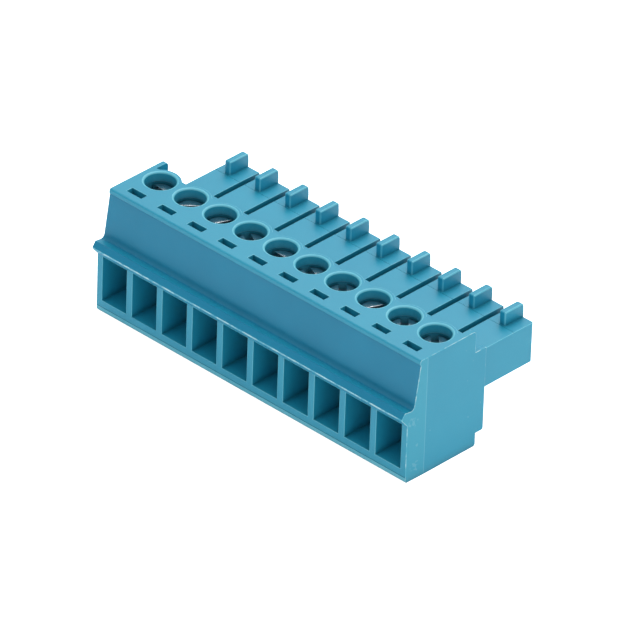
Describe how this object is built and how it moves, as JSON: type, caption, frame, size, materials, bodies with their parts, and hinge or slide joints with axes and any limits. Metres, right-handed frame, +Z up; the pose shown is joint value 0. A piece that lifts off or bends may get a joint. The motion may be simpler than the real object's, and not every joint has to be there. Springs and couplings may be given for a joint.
{
  "type": "pluggable terminal block",
  "caption": "Pluggable screw terminal block: a row of wire entries with rising-cage clamps, slotted clamp screws under the deck, and a plug side with pin sockets and coding tabs.",
  "frame": {"origin": "bottom centre of the overall box, on the underside of the housing", "axes": "+X along the row of poles, +Y towards the plug end that mates with the pin header, +Z up through the screws"},
  "size_m": [0.0356, 0.0162, 0.0114],
  "materials": {
    "housing_plastic": "moulded, satin",
    "screw_steel": "bright zinc plated",
    "cage_steel": "plated, formed",
    "contact_metal": "tin plated"
  },
  "bodies": {
    "body": {"housing": "housing_plastic", "contact_1": "contact_metal", "contact_2": "contact_metal", "contact_3": "contact_metal", "contact_4": "contact_metal", "contact_5": "contact_metal", "contact_6": "contact_metal", "contact_7": "contact_metal", "contact_8": "contact_metal", "contact_9": "contact_metal", "contact_10": "contact_metal"},
    "screw_1": {"clamp_screw_1": "screw_steel"},
    "cage_1": {"clamp_cage_1": "cage_steel"},
    "screw_2": {"clamp_screw_2": "screw_steel"},
    "cage_2": {"clamp_cage_2": "cage_steel"},
    "screw_3": {"clamp_screw_3": "screw_steel"},
    "cage_3": {"clamp_cage_3": "cage_steel"},
    "screw_4": {"clamp_screw_4": "screw_steel"},
    "cage_4": {"clamp_cage_4": "cage_steel"},
    "screw_5": {"clamp_screw_5": "screw_steel"},
    "cage_5": {"clamp_cage_5": "cage_steel"},
    "screw_6": {"clamp_screw_6": "screw_steel"},
    "cage_6": {"clamp_cage_6": "cage_steel"},
    "screw_7": {"clamp_screw_7": "screw_steel"},
    "cage_7": {"clamp_cage_7": "cage_steel"},
    "screw_8": {"clamp_screw_8": "screw_steel"},
    "cage_8": {"clamp_cage_8": "cage_steel"},
    "screw_9": {"clamp_screw_9": "screw_steel"},
    "cage_9": {"clamp_cage_9": "cage_steel"},
    "screw_10": {"clamp_screw_10": "screw_steel"},
    "cage_10": {"clamp_cage_10": "cage_steel"}
  },
  "joints": [
    {"name": "screw_turn_1", "type": "hinge", "parent": "body", "child": "screw_1", "pos_m": [-0.01575, -0.00225, 0.0095], "axis": [0, 0, -1], "range_deg": [0, 2295]},
    {"name": "cage_lift_1", "type": "slide", "parent": "body", "child": "cage_1", "axis": [0, 0, 1], "range_m": [0, 0.00255]},
    {"name": "screw_turn_2", "type": "hinge", "parent": "body", "child": "screw_2", "pos_m": [-0.01225, -0.00225, 0.0095], "axis": [0, 0, -1], "range_deg": [0, 2295]},
    {"name": "cage_lift_2", "type": "slide", "parent": "body", "child": "cage_2", "axis": [0, 0, 1], "range_m": [0, 0.00255]},
    {"name": "screw_turn_3", "type": "hinge", "parent": "body", "child": "screw_3", "pos_m": [-0.00875, -0.00225, 0.0095], "axis": [0, 0, -1], "range_deg": [0, 2295]},
    {"name": "cage_lift_3", "type": "slide", "parent": "body", "child": "cage_3", "axis": [0, 0, 1], "range_m": [0, 0.00255]},
    {"name": "screw_turn_4", "type": "hinge", "parent": "body", "child": "screw_4", "pos_m": [-0.00525, -0.00225, 0.0095], "axis": [0, 0, -1], "range_deg": [0, 2295]},
    {"name": "cage_lift_4", "type": "slide", "parent": "body", "child": "cage_4", "axis": [0, 0, 1], "range_m": [0, 0.00255]},
    {"name": "screw_turn_5", "type": "hinge", "parent": "body", "child": "screw_5", "pos_m": [-0.00175, -0.00225, 0.0095], "axis": [0, 0, -1], "range_deg": [0, 2295]},
    {"name": "cage_lift_5", "type": "slide", "parent": "body", "child": "cage_5", "axis": [0, 0, 1], "range_m": [0, 0.00255]},
    {"name": "screw_turn_6", "type": "hinge", "parent": "body", "child": "screw_6", "pos_m": [0.00175, -0.00225, 0.0095], "axis": [0, 0, -1], "range_deg": [0, 2295]},
    {"name": "cage_lift_6", "type": "slide", "parent": "body", "child": "cage_6", "axis": [0, 0, 1], "range_m": [0, 0.00255]},
    {"name": "screw_turn_7", "type": "hinge", "parent": "body", "child": "screw_7", "pos_m": [0.00525, -0.00225, 0.0095], "axis": [0, 0, -1], "range_deg": [0, 2295]},
    {"name": "cage_lift_7", "type": "slide", "parent": "body", "child": "cage_7", "axis": [0, 0, 1], "range_m": [0, 0.00255]},
    {"name": "screw_turn_8", "type": "hinge", "parent": "body", "child": "screw_8", "pos_m": [0.00875, -0.00225, 0.0095], "axis": [0, 0, -1], "range_deg": [0, 2295]},
    {"name": "cage_lift_8", "type": "slide", "parent": "body", "child": "cage_8", "axis": [0, 0, 1], "range_m": [0, 0.00255]},
    {"name": "screw_turn_9", "type": "hinge", "parent": "body", "child": "screw_9", "pos_m": [0.01225, -0.00225, 0.0095], "axis": [0, 0, -1], "range_deg": [0, 2295]},
    {"name": "cage_lift_9", "type": "slide", "parent": "body", "child": "cage_9", "axis": [0, 0, 1], "range_m": [0, 0.00255]},
    {"name": "screw_turn_10", "type": "hinge", "parent": "body", "child": "screw_10", "pos_m": [0.01575, -0.00225, 0.0095], "axis": [0, 0, -1], "range_deg": [0, 2295]},
    {"name": "cage_lift_10", "type": "slide", "parent": "body", "child": "cage_10", "axis": [0, 0, 1], "range_m": [0, 0.00255]}
  ],
  "couplings": [
    {"joint": "screw_turn_1", "follows": "cage_lift_1", "rad_per_m": 15708},
    {"joint": "screw_turn_2", "follows": "cage_lift_2", "rad_per_m": 15708},
    {"joint": "screw_turn_3", "follows": "cage_lift_3", "rad_per_m": 15708},
    {"joint": "screw_turn_4", "follows": "cage_lift_4", "rad_per_m": 15708},
    {"joint": "screw_turn_5", "follows": "cage_lift_5", "rad_per_m": 15708},
    {"joint": "screw_turn_6", "follows": "cage_lift_6", "rad_per_m": 15708},
    {"joint": "screw_turn_7", "follows": "cage_lift_7", "rad_per_m": 15708},
    {"joint": "screw_turn_8", "follows": "cage_lift_8", "rad_per_m": 15708},
    {"joint": "screw_turn_9", "follows": "cage_lift_9", "rad_per_m": 15708},
    {"joint": "screw_turn_10", "follows": "cage_lift_10", "rad_per_m": 15708}
  ]
}
